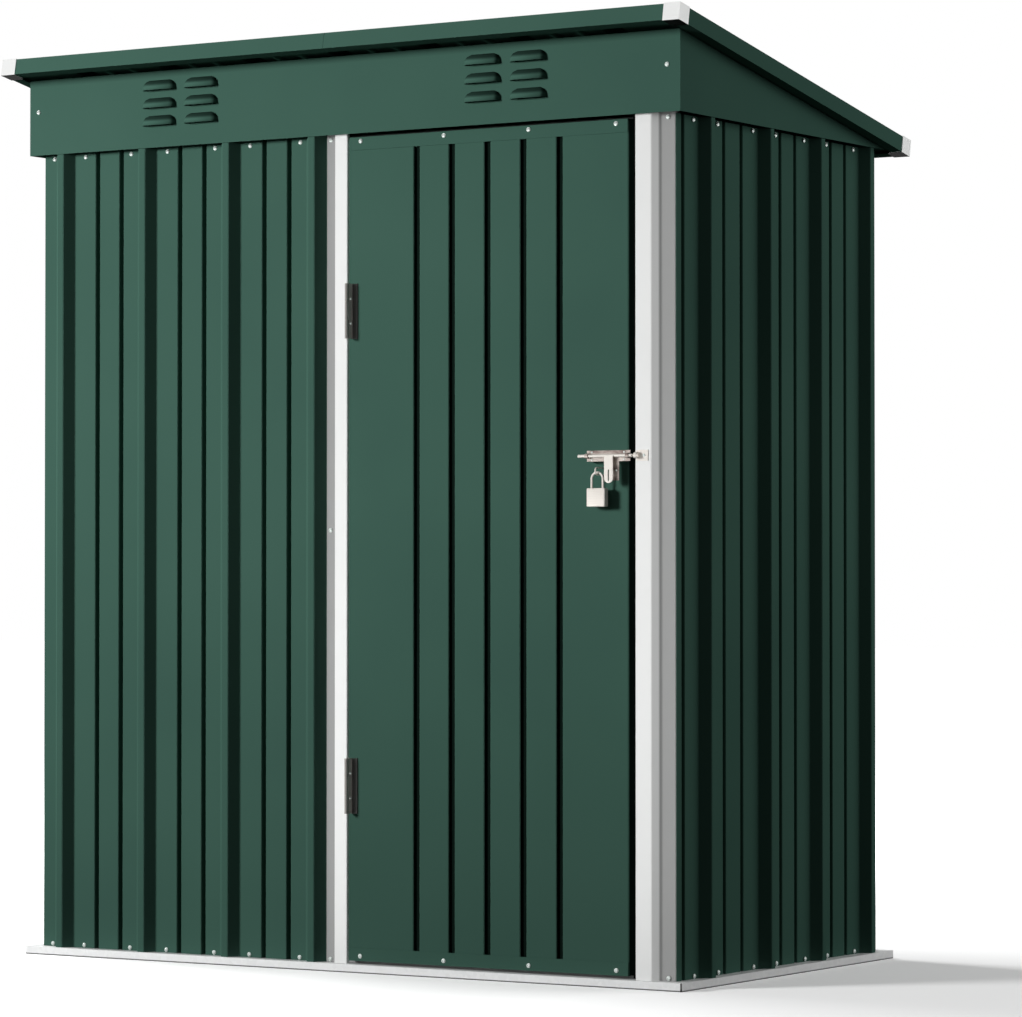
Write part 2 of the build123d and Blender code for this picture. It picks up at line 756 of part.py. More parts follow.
# Staple on the door: a bent wire that holds the padlock
staple_x = latch_left + staple_inset
staple_z = latch_height - staple_drop
staple_half = staple_gap / 2
staple_leg = staple_reach - staple_half - staple_wire
staple_plane = Plane(origin=(staple_x, door_face, staple_z), x_dir=(0, -1, 0), z_dir=(-1, 0, 0))
with BuildPart() as latch_staple:
    with BuildLine(staple_plane):
        lower_leg = Line((0, -staple_half), (staple_leg, -staple_half))
        bow = ThreePointArc(lower_leg @ 1, (staple_leg + staple_half, 0), (staple_leg, staple_half))
        Line(bow @ 1, (0, staple_half))
    with BuildSketch(Plane(origin=lower_leg @ 0, z_dir=lower_leg % 0)):
        RegularPolygon(staple_wire, wire_sides)
    sweep()
save(latch_staple.part, "latch_staple")

# Padlock: a round shackle that hangs in the staple and a block below it
lock_y = door_face - shackle_stand
shackle_top = staple_z - staple_half + staple_wire + shackle_wire + lock_play
spring = shackle_top - shackle_half
lock_top = spring - shackle_leg
shackle_foot = lock_top - shackle_grip
shackle_plane = Plane(origin=(staple_x, lock_y, 0), x_dir=(1, 0, 0), z_dir=(0, -1, 0))
with BuildPart() as padlock_shackle:
    with BuildLine(shackle_plane):
        left_leg = Line((-shackle_half, shackle_foot), (-shackle_half, spring))
        bow = ThreePointArc(left_leg @ 1, (0, shackle_top), (shackle_half, spring))
        Line(bow @ 1, (shackle_half, shackle_foot))
    with BuildSketch(Plane(origin=left_leg @ 0, z_dir=left_leg % 0)):
        RegularPolygon(shackle_wire, wire_sides)
    sweep()
save(padlock_shackle.part, "padlock_shackle")

with BuildPart() as padlock_body:
    with BuildSketch(Plane(origin=(staple_x, lock_y, lock_top), z_dir=(0, 0, 1))):
        RectangleRounded(lock_width, lock_depth, lock_round)
    extrude(amount=-lock_height)
    with BuildSketch(Plane(origin=(staple_x, lock_y, lock_top), z_dir=(0, 0, 1))):
        with Locations((-shackle_half, 0), (shackle_half, 0)):
            Circle(shackle_wire + lock_fit)
    extrude(amount=-shackle_grip, mode=Mode.SUBTRACT)
save(padlock_body.part, "padlock_body")
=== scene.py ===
# %% [markdown]
# # A lean-to garden shed of painted steel sheet
# The shed is a small building of pressed steel sheets on a rail frame. Its solid model is loaded
# first, as a fixed frame in metres: X runs along the front, Y to the back and Z up. All that
# follows is finish: paint and plating, screws, the smooth wires of the lock, light and camera.

# %% Load the frame
import json
from math import cos, pi, radians, sin

import bpy
from mathutils import Matrix, Vector


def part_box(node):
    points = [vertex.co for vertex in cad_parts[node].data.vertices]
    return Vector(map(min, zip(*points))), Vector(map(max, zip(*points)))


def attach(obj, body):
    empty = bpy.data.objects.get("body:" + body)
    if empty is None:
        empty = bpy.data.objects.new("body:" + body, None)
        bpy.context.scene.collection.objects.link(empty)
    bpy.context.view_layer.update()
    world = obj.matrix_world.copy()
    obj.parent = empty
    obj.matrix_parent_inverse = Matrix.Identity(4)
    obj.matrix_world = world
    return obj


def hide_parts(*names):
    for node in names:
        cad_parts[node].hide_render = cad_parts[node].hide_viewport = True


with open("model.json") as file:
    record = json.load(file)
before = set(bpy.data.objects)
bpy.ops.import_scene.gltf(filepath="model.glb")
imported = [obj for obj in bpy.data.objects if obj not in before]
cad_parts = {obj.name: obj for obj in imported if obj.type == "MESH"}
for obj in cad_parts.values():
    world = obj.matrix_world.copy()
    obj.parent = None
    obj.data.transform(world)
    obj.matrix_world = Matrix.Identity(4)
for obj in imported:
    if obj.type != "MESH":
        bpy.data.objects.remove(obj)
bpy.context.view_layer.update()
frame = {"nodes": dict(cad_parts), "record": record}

# %% [markdown]
# ## Camera
# The picture was taken from low down and far away with a long lens, so upright edges stay nearly
# parallel. A camera could be placed by eye, but this place and turn were fitted to the shed's own
# corners, which is closer. The lens is given for the usual 36 mm wide sensor.

# %% Place the camera
camera_place = (4.606, -7.0627, 0.7328)
camera_yaw = 32.337
camera_pitch = 1.102
camera_lens_mm = 148.36
camera_sensor_mm = 36
camera_far = 200

view = bpy.data.cameras.new("camera")
view.lens = camera_lens_mm
view.sensor_width = camera_sensor_mm
view.clip_end = camera_far
camera = bpy.data.objects.new("camera", view)
camera.location = camera_place
camera.rotation_euler = (radians(90 + camera_pitch), 0, radians(camera_yaw))
bpy.context.scene.collection.objects.link(camera)
bpy.context.scene.camera = camera
print("camera at", camera_place, "lens", camera_lens_mm)

# %% [markdown]
# ## Colours and nodes
# Colours are written as the hex values that a paint chart would give. Shaders work in linear
# light, so one function converts them. A second one adds a shader node, sets its properties and
# fills its sockets: a plain value is set, and another node's output is linked.

# %% Helpers for colours and nodes
def linear(hex_colour):
    """An sRGB hex colour as linear red, green, blue and alpha."""
    shares = [int(hex_colour[place:place + 2], 16) / 255 for place in (1, 3, 5)]
    return [s / 12.92 if s <= 0.04045 else ((s + 0.055) / 1.055) ** 2.4 for s in shares] + [1]


def add_node(tree, kind, inputs, **settings):
    """A new node with its settings, its values and its links."""
    made = tree.nodes.new(kind)
    for name, value in settings.items():
        setattr(made, name, value)
    for name, value in inputs.items():
        if isinstance(value, bpy.types.NodeSocket):
            tree.links.new(value, made.inputs[name])
        else:
            made.inputs[name].default_value = value
    return made


def new_material(name):
    """An empty material with its tree and its object coordinates."""
    material = bpy.data.materials.new(name)
    material.use_nodes = True
    tree = material.node_tree
    tree.nodes.clear()
    place = add_node(tree, "ShaderNodeTexCoord", {}).outputs["Object"]
    return material, tree, place


def finish_material(tree, shader):
    """Link the shader to the surface."""
    add_node(tree, "ShaderNodeOutputMaterial", {"Surface": shader.outputs[0]})


def per_mm(size_mm):
    """Texture scale for a pattern of a real size."""
    return 1000 / size_mm


black = linear("#000000")
white = linear("#ffffff")
print("white is", white)

# %% [markdown]
# ## Tones of painted shade
# The shed in the picture is darker near the ground, in grooves and folds and under edges than
# plain lamps leave it. More lamps could do that for one view only, so the finish itself has it:
# a tone lowers a colour to a share of itself, between two places on one axis or two tilts of the
# surface.

# %% Tones along an axis
def toned(tree, colour, tones):
    """A colour that each tone lowers to a share of itself from its start to its end."""
    for source, axis, start, end, share in tones:
        where = add_node(tree, "ShaderNodeTexCoord", {}).outputs[source]
        parts = add_node(tree, "ShaderNodeSeparateXYZ", {"Vector": where})
        reach = {"From Min": start, "From Max": end, "To Min": 1.0, "To Max": share}
        fade = add_node(tree, "ShaderNodeMapRange", {"Value": parts.outputs[axis], **reach})
        shaded = {0: colour, 1: fade.outputs["Result"]}
        product = add_node(tree, "ShaderNodeVectorMath", shaded, operation="MULTIPLY")
        colour = product.outputs["Vector"]
    return colour


# Painted shade: the sheets are darker towards the ground, below 0.95 m.
painted_low_shade = ("Object", "Z", 0.95, 0.10, 0.79)
print("splash zone up to", painted_low_shade[2], "m")

# %% [markdown]
# ## Paint on steel sheet
# The sheets are rolled steel with a coat of polyester paint that was baked on at the mill. The
# coat is satin: it has hardly any gloss, a faint orange peel a few millimetres wide, and broad
# clouds where the coat is a little thicker. One flat colour would look like plastic, so two noise
# textures give the clouds and the peel. The peel is drawn coarser than it is, so that it shows.

# %% Baked paint
cloud_mm = 420
cloud_detail = 3
peel_mm = 6
fine_detail = 2
peel_strength = 0.1
peel_depth = 0.0004
thin_coat, even_coat, thick_coat = 0.3, 0.5, 0.7
paint_spread = 0.06


def baked_paint(name, shades, roughness, specular, metal, tones):
    """Satin paint with broad clouds between three shades and a faint orange peel."""
    material, tree, place = new_material(name)
    cloud_inputs = {"Vector": place, "Scale": per_mm(cloud_mm), "Detail": cloud_detail}
    clouds = add_node(tree, "ShaderNodeTexNoise", cloud_inputs).outputs["Fac"]
    ramp = add_node(tree, "ShaderNodeValToRGB", {"Fac": clouds})
    ramp.color_ramp.elements[0].position = thin_coat
    ramp.color_ramp.elements[0].color = linear(shades[0])
    ramp.color_ramp.elements[1].position = thick_coat
    ramp.color_ramp.elements[1].color = linear(shades[2])
    ramp.color_ramp.elements.new(even_coat).color = linear(shades[1])
    peel_inputs = {"Vector": place, "Scale": per_mm(peel_mm), "Detail": fine_detail}
    peel = add_node(tree, "ShaderNodeTexNoise", peel_inputs).outputs["Fac"]
    relief = {"Height": peel, "Strength": peel_strength, "Distance": peel_depth}
    bump = add_node(tree, "ShaderNodeBump", relief)
    spread = {"To Min": roughness - paint_spread, "To Max": roughness + paint_spread}
    dull = add_node(tree, "ShaderNodeMapRange", {"Value": clouds, **spread})
    shader = add_node(
        tree,
        "ShaderNodeBsdfPrincipled",
        {
            "Base Color": toned(tree, ramp.outputs["Color"], tones),
            "Roughness": dull.outputs["Result"],
            "Specular IOR Level": specular,
            "Specular Tint": black,
            "Metallic": metal,
            "Normal": bump.outputs["Normal"],
        },
    )
    finish_material(tree, shader)
    return material


print("clouds", cloud_mm, "mm wide, peel", peel_mm, "mm wide")

# %% [markdown]
# ## Green sheets
# Walls, roof, door and fascia come from the same green coil. The door and the fascia only differ
# in their painted shade: the door is darker towards its foot and in its pressed grooves, and the
# fascia is darker on top of the louvres' hoods and in a painted shadow close under the eaves.

# %% Green paints
greens = ("#3d5b51", "#3f5e53", "#416055")
satin = {"roughness": 0.5, "specular": 0.0, "metal": 0.0}
eaves_shade = 0.014
fascia_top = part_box("front_fascia")[1].z
# Painted shade: darker towards the door's foot and in its grooves, darker on the hoods' tops, and
# a painted shadow under the eaves.
door_foot_shade = ("Object", "Z", 0.60, 0.0, 0.86)
groove_shade = ("Object", "Y", -0.3838, -0.3830, 0.10)
hood_top_shade = ("Normal", "Z", 0.12, 0.55, 0.30)
eaves_shadow = ("Object", "Z", fascia_top - eaves_shade, fascia_top, 0.40)
door_tones = [painted_low_shade, door_foot_shade, groove_shade]
fascia_tones = [hood_top_shade, eaves_shadow]
green_paint = baked_paint("green_polyester_paint", greens, **satin, tones=[painted_low_shade])
door_paint = baked_paint("green_door_paint", greens, **satin, tones=door_tones)
fascia_paint = baked_paint("green_fascia_paint", greens, **satin, tones=fascia_tones)
print("paints", green_paint.name, door_paint.name, fascia_paint.name)

# %% [markdown]
# ## White posts and caps
# The posts of the doorway are folded from white sheet, and white caps close the roof's corners.
# Their coat is glossier than the green one. Gloss alone stays grey at a slant, so a share of metal
# mirrors the white room instead. Painted shade greys the posts' flanges, which lie in a fold, and
# paints their door stop and the undersides of the caps nearly black.

# %% White paints
post_whites = ("#dcdddc", "#dfe0df", "#e2e3e2")
cap_whites = ("#e4e5e4", "#e7e8e7", "#eaebea")
post_gloss = {"roughness": 0.44, "specular": 0.08, "metal": 0.42}
cap_gloss = {"roughness": 0.40, "specular": 0.08, "metal": 0.75}
# Painted shade: grey on the flanges, near black on the door stop and under the caps.
post_flange_shade = ("Object", "Y", -0.3890, -0.3866, 0.42)
post_stop_shade = ("Object", "Y", -0.3800, -0.3760, 0.04)
cap_underside_shade = ("Normal", "Z", -0.3, -0.7, 0.02)
post_tones = [post_flange_shade, post_stop_shade]
post_white = baked_paint("white_post_paint", post_whites, **post_gloss, tones=post_tones)
cap_white = baked_paint("white_cap_paint", cap_whites, **cap_gloss, tones=[cap_underside_shade])
print("whites", post_white.name, cap_white.name)

# %% [markdown]
# ## Zinc
# The base rails and the hidden frame are galvanised: steel dipped in zinc, which freezes in flat
# crystals a few millimetres wide. Noise would give soft spots, so cells of a Voronoi texture, each
# with its own faint grey, give that spangle. Painted shade darkens the rails along the ground
# line, under the wall and in the slit at the corner. The front rail is painted a little lighter
# than the sides, as if lit, and the frame inside is painted dark grey as shade.

# %% Galvanised rails
spangle_mm = 9
zinc_spread = 0.08
zinc_metal = 0.25
zinc_specular = 0.3
rail_roughness = 0.5
inner_roughness = 0.6


def galvanised(name, shades, roughness, tones):
    """Zinc with a faint spangle of flat crystals."""
    material, tree, place = new_material(name)
    cell_inputs = {"Vector": place, "Scale": per_mm(spangle_mm)}
    cells = add_node(tree, "ShaderNodeTexVoronoi", cell_inputs)
    level = add_node(tree, "ShaderNodeRGBToBW", {"Color": cells.outputs["Color"]}).outputs["Val"]
    ramp = add_node(tree, "ShaderNodeValToRGB", {"Fac": level})
    ramp.color_ramp.elements[0].color = linear(shades[0])
    ramp.color_ramp.elements[1].color = linear(shades[1])
    spread = {"To Min": roughness - zinc_spread, "To Max": roughness + zinc_spread}
    dull = add_node(tree, "ShaderNodeMapRange", {"Value": level, **spread})
    shader = add_node(
        tree,
        "ShaderNodeBsdfPrincipled",
        {
            "Base Color": toned(tree, ramp.outputs["Color"], tones),
            "Roughness": dull.outputs["Result"],
            "Metallic": zinc_metal,
            "Specular IOR Level": zinc_specular,
        },
    )
    finish_material(tree, shader)
    return material


# Painted shade: a contact shadow along the ground, and shade under the wall and in the corner
# slit.
ground_contact_shadow = ("Object", "Z", 0.0030, 0.0018, 0.16)
under_wall_shade = ("Object", "Y", -0.3885, -0.3870, 0.40)
corner_slit_shadow = ("Object", "X", 0.7583, 0.7593, 0.04)
# Painted light: the front rail's greys are lighter than the sides' ones, as if lit.
front_lit_greys = ("#e1e2e2", "#ebecec")
side_greys = ("#d6d7d7", "#e0e1e1")
# Painted shade: the frame inside is painted dark grey, as it lies in shade.
inner_shade_greys = ("#3a3d3c", "#494c4b")
front_tones = [ground_contact_shadow, under_wall_shade, corner_slit_shadow]
rail_zinc = galvanised("galvanised_steel", side_greys, rail_roughness, [ground_contact_shadow])
front_rail_zinc = galvanised(
    "galvanised_front_rail", front_lit_greys, rail_roughness, front_tones
)
inner_zinc = galvanised("inner_shade_zinc", inner_shade_greys, inner_roughness, [])
print("rails", rail_zinc.name, front_rail_zinc.name, inner_zinc.name)

# %% [markdown]
# ## Plating
# Screws, hinges, latch and lock are plated steel. A metal shows the room around it, so the plating
# only needs a pale grey, a low roughness and fine drawn lines, drawn coarser than they are. The
# plate of the latch is stained in larger clouds. The hinges have painted shade: their foot on the
# door is painted near black as the hinge's shadow, and their faces that look to the front are
# darker.

# %% Plated fittings
pale_plate, bright_plate = 0.25, 0.75
line_strength = 0.08
line_depth = 0.0002
plate_spread = 0.05
drawn_mm = (60, 0.8, 0.8)
stain_mm = (26, 9, 9)


def plated(name, shades, pattern_mm, roughness, metal, tones):
    """Plated steel, with lines drawn along its length or clouds in its plating."""
    material, tree, place = new_material(name)
    stretch = [per_mm(size) for size in pattern_mm]
    along = add_node(tree, "ShaderNodeMapping", {"Vector": place, "Scale": stretch})
    line_inputs = {"Vector": along.outputs["Vector"], "Scale": 1, "Detail": fine_detail}
    lines = add_node(tree, "ShaderNodeTexNoise", line_inputs).outputs["Fac"]
    ramp = add_node(tree, "ShaderNodeValToRGB", {"Fac": lines})
    ramp.color_ramp.elements[0].position = pale_plate
    ramp.color_ramp.elements[0].color = linear(shades[0])
    ramp.color_ramp.elements[1].position = bright_plate
    ramp.color_ramp.elements[1].color = linear(shades[1])
    relief = {"Height": lines, "Strength": line_strength, "Distance": line_depth}
    bump = add_node(tree, "ShaderNodeBump", relief)
    spread = {"To Min": roughness - plate_spread, "To Max": roughness + plate_spread}
    dull = add_node(tree, "ShaderNodeMapRange", {"Value": lines, **spread})
    shader = add_node(
        tree,
        "ShaderNodeBsdfPrincipled",
        {
            "Base Color": toned(tree, ramp.outputs["Color"], tones),
            "Roughness": dull.outputs["Result"],
            "Metallic": metal,
            "Normal": bump.outputs["Normal"],
        },
    )
    finish_material(tree, shader)
    return material


nickel_greys = ("#d3dcd8", "#eaf0ed")
hinge_greys = ("#d2cec7", "#ece8e2")
satin_greys = ("#dcd6ce", "#e8e3dc")
stain_browns = ("#6f5d58", "#d6ccc4")
# Painted shade: near black on the foot beyond the strap, and darker on faces that look to the
# front.
hinge_foot_shadow = ("Object", "X", 0.0178, 0.0190, 0.06)
hinge_front_shade = ("Normal", "Y", -0.3, -0.7, 0.42)
hinge_tones = [hinge_foot_shadow, hinge_front_shade]
bright = {"roughness": 0.3, "metal": 0.6}
worn = {"roughness": 0.36, "metal": 0.1}
brushed = {"roughness": 0.4, "metal": 0.35}
stained = {"roughness": 0.34, "metal": 0.6}
nickel = plated("nickel_plated_steel", nickel_greys, drawn_mm, **bright, tones=[])
hinge_zinc = plated("zinc_plated_hinge", hinge_greys, drawn_mm, **worn, tones=hinge_tones)
satin_nickel = plated("satin_nickel_plate", satin_greys, drawn_mm, **brushed, tones=[])
stained_nickel = plated("stained_nickel_plate", stain_browns, stain_mm, **stained, tones=[])
print("plating", nickel.name, hinge_zinc.name, satin_nickel.name, stained_nickel.name)

# %% [markdown]
# ## Finish the solid pieces
# Every solid of the frame keeps its shape and only gets its finish, by the slot that its maker
# would order it in: painted sheets, white posts and caps, zinc rails, plated fittings. Some pieces
# then get a finish of their own, by name.

# %% Give each piece its finish
finish_of_slot = {
    "green_steel_sheet": green_paint,
    "white_steel_sheet": cap_white,
    "galvanised_rail": rail_zinc,
    "plated_hardware": nickel,
    "lock_plating": satin_nickel,
}
finish_of_start = {
    "hinge_": hinge_zinc,
    "top_rail": inner_zinc,
    "corner_angles": inner_zinc,
    "latch_base": stained_nickel,
    "bolt": satin_nickel,
    "latch_keeper": satin_nickel,
    "corner_post": post_white,
    "door_jamb_post": post_white,
    "base_rail_front": front_rail_zinc,
    "door_panel": door_paint,
    "door_top_rail": door_paint,
    "door_bottom_rail": door_paint,
}
for part in frame["record"]["subparts"]:
    name = part["node"]
    own = [finish for start, finish in finish_of_start.items() if name.startswith(start)]
    mesh = frame["nodes"][name].data
    mesh.materials.clear()
    mesh.materials.append(own[0] if own else finish_of_slot[part["material_slot"]])

# %% [markdown]
# ## Modelling helpers
# Pieces are modelled as by hand: add a primitive, choose faces by where they are, and extrude,
# inset or bevel them. Operators act on whatever is selected, so everything is deselected first.

# %% Helpers for modelling
weld = 0.00001
square_on = 0.9


def start_clean():
    """Nothing selected, and no piece active."""
    bpy.ops.object.select_all(action="DESELECT")
    bpy.context.view_layer.objects.active = None


def choose_faces(piece, test):
    """In edit mode, select the faces whose centre and normal pass the test."""
    bpy.ops.object.mode_set(mode="EDIT")
    bpy.ops.mesh.select_mode(type="FACE")
    bpy.ops.mesh.select_all(action="DESELECT")
    bpy.ops.object.mode_set(mode="OBJECT")
    for face in piece.data.polygons:
        face.select = test(face.center, face.normal)
    bpy.ops.object.mode_set(mode="EDIT")


def draw_out(step):
    """In edit mode, extrude what is selected by a step."""
    bpy.ops.mesh.extrude_region_move(TRANSFORM_OT_translate={"value": step})


def done_editing(angle):
    """Back to object mode, with smooth faces up to an angle."""
    bpy.ops.object.mode_set(mode="OBJECT")
    bpy.ops.object.shade_smooth_by_angle(angle=radians(angle))


def copy_to(model, name, matrix, body, material):
    """A copy with its own mesh, set in place in its mesh, that rides on a body."""
    piece = bpy.data.objects.new(name, model.data.copy())
    piece.data.transform(matrix)
    bpy.context.scene.collection.objects.link(piece)
    piece.data.materials.clear()
    piece.data.materials.append(material)
    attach(piece, body)


print("points closer than", weld, "m are merged")

# %% [markdown]
# ## Louvred fascia
# The hoods of the louvres are pressed out of the fascia in one stroke, so their skin runs round
# from the front to the top without an edge. The solid has them in flat steps. The hoods could be
# modelled anew, but a merged copy of the solid keeps their places: the sheet stays flat up to the
# foot of each hood, and the steps above are shaded as one round skin.

# %% Press the fascia
hood_reach = 0.013
hood_angle = 60
same_plane = 0.0001
flat_on = 0.99
start_clean()
fascia = bpy.data.objects.new("pressed_fascia", frame["nodes"]["front_fascia"].data.copy())
bpy.context.scene.collection.objects.link(fascia)
fascia.select_set(True)
bpy.context.view_layer.objects.active = fascia
bpy.ops.object.mode_set(mode="EDIT")
bpy.ops.mesh.select_all(action="SELECT")
bpy.ops.mesh.remove_doubles(threshold=weld)
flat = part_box("front_fascia")[0].y + hood_reach
choose_faces(
    fascia, lambda centre, normal: abs(centre.y - flat) < same_plane and normal.y < -flat_on
)
bpy.ops.mesh.region_to_loop()
bpy.ops.mesh.mark_sharp()
bpy.ops.object.mode_set(mode="OBJECT")
bpy.ops.object.shade_smooth_by_angle(angle=radians(hood_angle), keep_sharp_edges=True)
fascia.data.materials.clear()
fascia.data.materials.append(fascia_paint)
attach(fascia, "shed")
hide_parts("front_fascia")
print("fascia", len(fascia.data.polygons), "faces")

# %% [markdown]
# ## One screw
# Short pan-head screws with a flat washer hold the sheets to the rails. A half ball on a disc
# would do from afar. This one is drawn from a cylinder: the washer's top is inset, drawn up to a
# low dome in three steps and sunk again for the driver.

# %% Model one screw
screw_sides = 16
washer_radius = 0.0044
washer_height = 0.0008
head_radius = 0.0036
head_height = 0.0019
rim_rise, shoulder_rise, crown_rise = 0.55, 0.3, 0.15
shoulder_share = 0.82
crown_share = 0.6
recess_radius = 0.0015
recess_share = 0.8
screw_angle = 50

start_clean()
bpy.ops.mesh.primitive_cylinder_add(
    vertices=screw_sides,
    radius=washer_radius,
    depth=washer_height,
    location=(0, 0, washer_height / 2),
)
screw_model = bpy.context.object
bpy.ops.object.transform_apply(location=True)
choose_faces(screw_model, lambda centre, normal: normal.z > square_on)
bpy.ops.mesh.inset(thickness=washer_radius - head_radius)
draw_out((0, 0, head_height * rim_rise))
draw_out((0, 0, head_height * shoulder_rise))
bpy.ops.transform.resize(value=(shoulder_share, shoulder_share, 1))
draw_out((0, 0, head_height * crown_rise))
bpy.ops.transform.resize(value=(crown_share, crown_share, 1))
bpy.ops.mesh.inset(thickness=head_radius * shoulder_share * crown_share - recess_radius)
draw_out((0, 0, -head_height * recess_share))
done_editing(screw_angle)
print("screw faces", len(screw_model.data.polygons))

# %% [markdown]
# ## Screws of the walls
# A row of screws holds each wall to the base rail, and a second row to the top rail. The screw is
# modelled once, and each copy has its own mesh that is turned to its side and moved to its place.
# The places on the front and the right are those in the picture. The left repeats the right.

# %% Set the screws of the walls
facing = {
    "front": Matrix.Rotation(radians(90), 4, "X"),
    "back": Matrix.Rotation(radians(-90), 4, "X"),
    "right": Matrix.Rotation(radians(90), 4, "Y"),
    "left": Matrix.Rotation(radians(-90), 4, "Y"),
}


def set_screws(group, side, places, body, size=1.0):
    """A row of screws that face one side of the shed."""
    for number, place in enumerate(places, start=1):
        matrix = Matrix.Translation(place) @ facing[side] @ Matrix.Scale(size, 4)
        name = f"screw_{group}_{number:02d}"
        copy_to(screw_model, name, matrix, body, nickel)
    print(group, len(places), "screws")


rib_height = 0.020
wall_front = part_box("front_wall_panel")[0].y + rib_height
wall_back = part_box("back_wall_left")[1].y - rib_height
wall_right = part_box("side_wall_right_front")[1].x - rib_height
low_row = 0.0215
high_row = 1.6010
rows = (low_row, high_row)
front_x = (-0.712, -0.633, -0.518, -0.428, -0.311, -0.226, -0.106)
side_y = (-0.321, -0.231, -0.096, -0.007, 0.107, 0.198, 0.311)
back_x = (-0.67, -0.49, -0.285, -0.08, 0.08, 0.285, 0.49, 0.67)
set_screws("front_wall", "front", [(x, wall_front, z) for x in front_x for z in rows], "shed")
set_screws("right_wall", "right", [(wall_right, y, z) for y in side_y for z in rows], "shed")
set_screws("left_wall", "left", [(-wall_right, y, z) for y in side_y for z in rows], "shed")
set_screws("back_wall", "back", [(x, wall_back, z) for x in back_x for z in rows], "shed")

# %% [markdown]
# ## Screws of posts, fascia and door
# The same screws hold the posts by their flanges, the fascia at both ends, and the door's sheet to
# its top and bottom rails. Those of the door ride on the door.

# %% Set the screws of posts, fascia and door
sheet = 0.001
fascia_stand = 0.022
post_flange = wall_front - sheet
fascia_face = wall_front - fascia_stand
door_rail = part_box("door_bottom_rail")[0].y
jamb_x = -0.033
jamb_z = (low_row, 0.847, high_row)
post_x = 0.720
fascia_x = (-0.736, 0.730)
fascia_z = 1.695
door_x = (0.037, 0.228, 0.418, 0.609)
door_z = (0.0305, 1.595)
set_screws("jamb", "front", [(jamb_x, post_flange, z) for z in jamb_z], "shed")
set_screws("corner_post", "front", [(post_x, post_flange, z) for z in rows], "shed")
set_screws("fascia", "front", [(x, fascia_face, fascia_z) for x in fascia_x], "shed")
set_screws("door", "front", [(x, door_rail, z) for z in door_z for x in door_x], "door")

# %% [markdown]
# ## Screws of hinges and latch
# Smaller heads of the same shape hold the hinges' straps, the keeper and the plates of the latch.
# They are the same screw at a smaller scale.

# %% Set the screws of hinges and latch
fitting_size = 0.67
plate_size = 0.46
rivet_size = 0.42
strap_face = 0.0176
strap_middle = -0.3915
hinge_rises = (0.024, -0.024)
for hinge in ("upper", "lower"):
    low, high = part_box(f"hinge_{hinge}_door_leaf")
    middle = (low.z + high.z) / 2
    places = [(strap_face, strap_middle, middle + rise) for rise in hinge_rises]
    set_screws(f"{hinge}_hinge", "right", places, "door", size=fitting_size)
latch_low, latch_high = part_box("latch_base")
latch_stand = 0.016
latch_half = 0.010
keeper_x, keeper_stand = 0.6765, 0.0155
drop_plate_x, drop_plate_fall = 0.6185, 0.027
left_inset, right_inset = 0.011, 0.013
rivet_rises = (-0.0068, 0.0068)
latch_plate = door_rail + sheet - latch_stand
latch_z = latch_high.z - latch_half
keeper = [(keeper_x, wall_front - keeper_stand, latch_z)]
drop_plate = [(drop_plate_x, latch_plate, latch_z - drop_plate_fall)]
rivet_x = (latch_low.x + left_inset, latch_high.x - right_inset)
rivets = [(x, latch_plate, latch_z + rise) for x in rivet_x for rise in rivet_rises]
set_screws("keeper", "front", keeper, "shed", size=fitting_size)
set_screws("drop_plate", "front", drop_plate, "door", size=plate_size)
set_screws("latch_rivet", "front", rivets, "door", size=rivet_size)

# %% [markdown]
# ## Staple and shackle
# The staple on the door and the shackle of the lock are round wire bent to a bow. A curve with a
# round bevel would give the same form, but here it is drawn as a bender does it: a disc as thick
# as the wire is drawn out along the first leg, turned half a circle about the middle of the bow
# and drawn out again.

# %% A bent wire
wire_sides = 20
bow_steps = 24
wire_angle = 40


def bend_wire(name, start, turn_to_disc, radius, leg, centre, axis, node, body):
    """A wire that leaves a point, turns half a circle about an axis and comes back."""
    start_clean()
    bpy.ops.mesh.primitive_circle_add(
        vertices=wire_sides, radius=radius, fill_type="NGON", location=start, rotation=turn_to_disc
    )
    wire = bpy.context.object
    wire.name = name
    bpy.ops.object.transform_apply(location=True, rotation=True)
    bpy.ops.object.mode_set(mode="EDIT")
    bpy.ops.mesh.select_mode(type="FACE")
    bpy.ops.mesh.select_all(action="SELECT")
    draw_out(leg)
    bpy.ops.mesh.spin(steps=bow_steps, angle=pi, center=centre, axis=axis)
    draw_out([-step for step in leg])
    bpy.ops.mesh.select_all(action="SELECT")
    bpy.ops.mesh.remove_doubles(threshold=weld)
    bpy.ops.mesh.normals_make_consistent(inside=False)
    done_editing(wire_angle)
    wire.data.materials.append(satin_nickel)
    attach(wire, body)
    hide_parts(node)
    print(name, len(wire.data.polygons), "faces", [round(v, 4) for v in wire.dimensions])


print("a wire has", wire_sides, "sides and", bow_steps, "steps in its bow")

# %% [markdown]
# ## Staple
# The staple stands out of the door and carries the lock. Its two legs lie one above the other, so
# its bow turns about the X axis. Its size and place are read from the solid that it replaces.

# %% Bend the staple
staple_wire = 0.0015
staple_low, staple_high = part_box("latch_staple")
staple_x = (staple_low.x + staple_high.x) / 2
staple_z = (staple_low.z + staple_high.z) / 2
staple_half = (staple_high.z - staple_low.z) / 2 - staple_wire
staple_leg = staple_high.y - staple_low.y - staple_half - staple_wire
bend_wire(
    "bent_staple",
    start=(staple_x, staple_high.y, staple_z - staple_half),
    turn_to_disc=(radians(90), 0, 0),
    radius=staple_wire,
    leg=(0, -staple_leg, 0),
    centre=(staple_x, staple_high.y - staple_leg, staple_z),
    axis=(1, 0, 0),
    node="latch_staple",
    body="door",
)

# %% [markdown]
# ## Shackle
# The shackle hangs in the staple with its bow up and its legs in the block. It is the same bend,
# turned about the Y axis and drawn from thicker wire.

